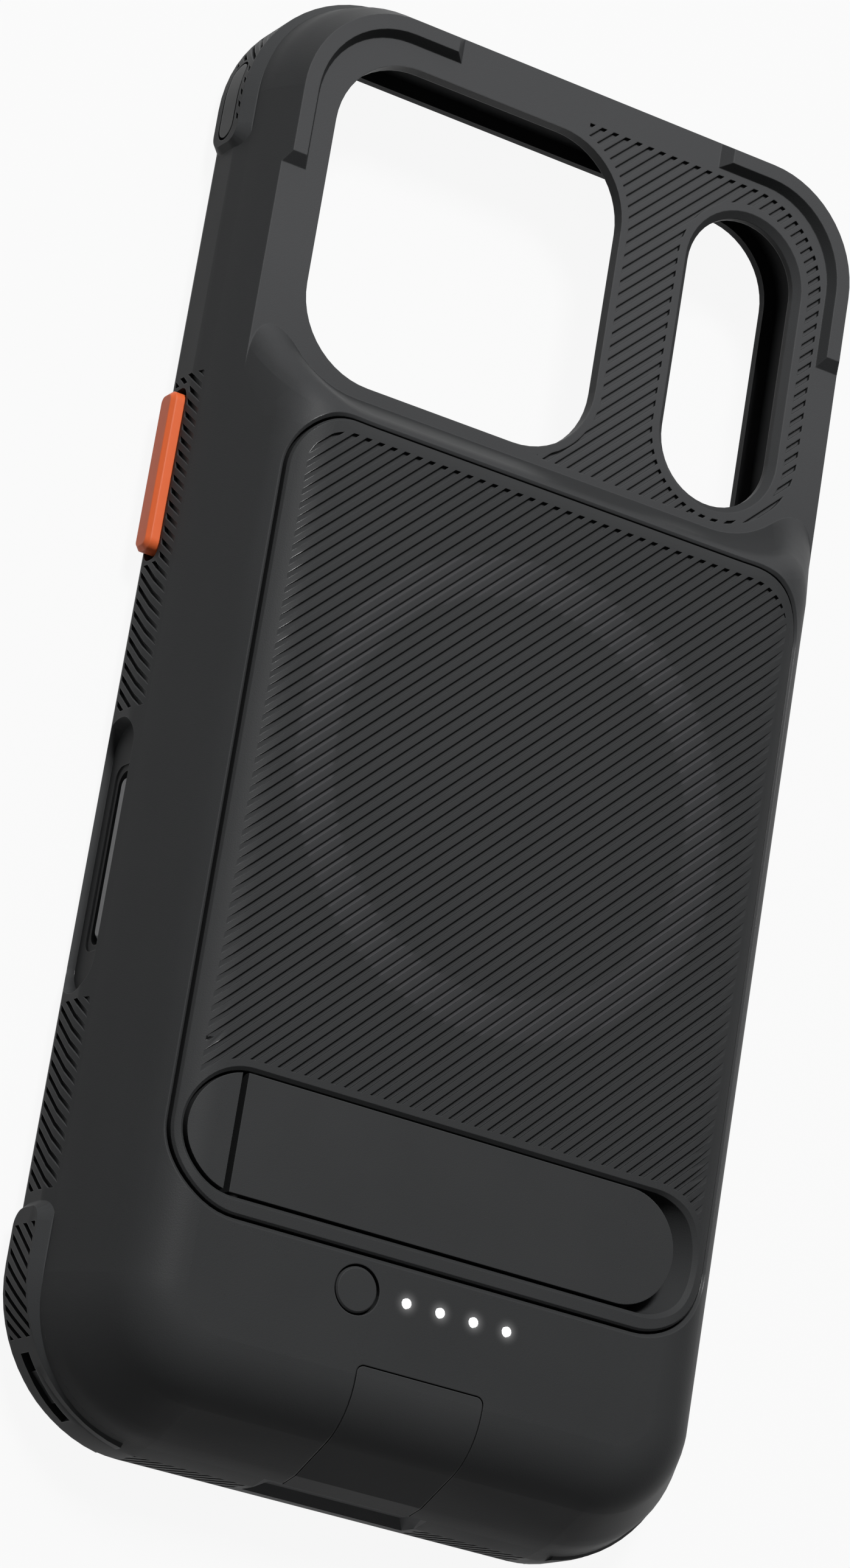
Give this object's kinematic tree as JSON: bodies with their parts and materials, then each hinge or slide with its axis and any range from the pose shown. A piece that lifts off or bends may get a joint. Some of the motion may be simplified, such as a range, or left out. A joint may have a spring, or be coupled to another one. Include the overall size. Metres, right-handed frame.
{
  "type": "battery charging case",
  "caption": "Rugged black battery case for a phone, with a humped ribbed back, fold-out kickstand, status lights, side keys, port flap and camera openings.",
  "frame": {"origin": "on the ground under the middle of the case, which lies on its open front", "axes": "+X across, +Y towards the camera end, +Z out of the back"},
  "size_m": [0.0842, 0.1696, 0.0215],
  "materials": {
    "shell": "fine moulded grain",
    "panel": "satin, ribbed",
    "bumper": "matte",
    "magnet": "plated",
    "stand": "satin",
    "steel": "plated",
    "light": "clear, lit",
    "cell": "foil pouch",
    "board": "solder mask",
    "switch": "moulded",
    "pad": "matte",
    "flap": "matte",
    "button": "satin",
    "orange_key": "satin",
    "black_key": "satin",
    "tab": "plated",
    "chip": "phosphor"
  },
  "bodies": {
    "case": {"rear_shell": "shell", "back_panel": "panel", "bumper_frame": "bumper", "magnet_ring": "magnet", "kickstand_cap": "stand", "hinge_pin": "steel", "light_pipe": "light", "cradle_plate": "shell", "battery_cell": "cell", "control_board": "board", "tact_switch": "switch", "dock_plug": "steel", "charge_receptacle": "steel", "corner_pad_near": "pad", "corner_pad_far": "pad", "light_chip_1": "chip", "light_chip_2": "chip", "light_chip_3": "chip", "light_chip_4": "chip", "cell_tab_1": "tab", "cell_tab_2": "tab"},
    "stand": {"kickstand_bar": "stand"},
    "flap": {"port_flap": "flap"},
    "status_button": {"status_button": "button"},
    "side_key": {"side_key": "orange_key"},
    "camera_key": {"camera_key": "black_key"},
    "volume_up_key": {"volume_up_key": "black_key"},
    "volume_down_key": {"volume_down_key": "black_key"},
    "action_key": {"action_key": "black_key"}
  },
  "joints": [
    {"name": "stand_hinge", "type": "hinge", "parent": "case", "child": "stand", "pos_m": [-0.02508, -0.0516, 0.0201], "axis": [0, -1, 0], "range_deg": [0, 90]},
    {"name": "flap_hinge", "type": "hinge", "parent": "case", "child": "flap", "pos_m": [0, -0.0723, 0.0214], "axis": [-1, 0, 0], "range_deg": [0, 100]},
    {"name": "button_press", "type": "slide", "parent": "case", "child": "status_button", "axis": [0, 0, -1], "range_m": [0, 0.0003], "stiffness_N_per_m": 1500},
    {"name": "side_key_press", "type": "slide", "parent": "case", "child": "side_key", "axis": [1, 0, 0], "range_m": [0, 0.0004], "stiffness_N_per_m": 1500},
    {"name": "camera_key_press", "type": "slide", "parent": "case", "child": "camera_key", "axis": [1, 0, 0], "range_m": [0, 0.0004], "stiffness_N_per_m": 1500},
    {"name": "volume_up_press", "type": "slide", "parent": "case", "child": "volume_up_key", "axis": [-1, 0, 0], "range_m": [0, 0.0004], "stiffness_N_per_m": 1500},
    {"name": "volume_down_press", "type": "slide", "parent": "case", "child": "volume_down_key", "axis": [-1, 0, 0], "range_m": [0, 0.0004], "stiffness_N_per_m": 1500},
    {"name": "action_key_press", "type": "slide", "parent": "case", "child": "action_key", "axis": [-1, 0, 0], "range_m": [0, 0.0004], "stiffness_N_per_m": 1500}
  ]
}
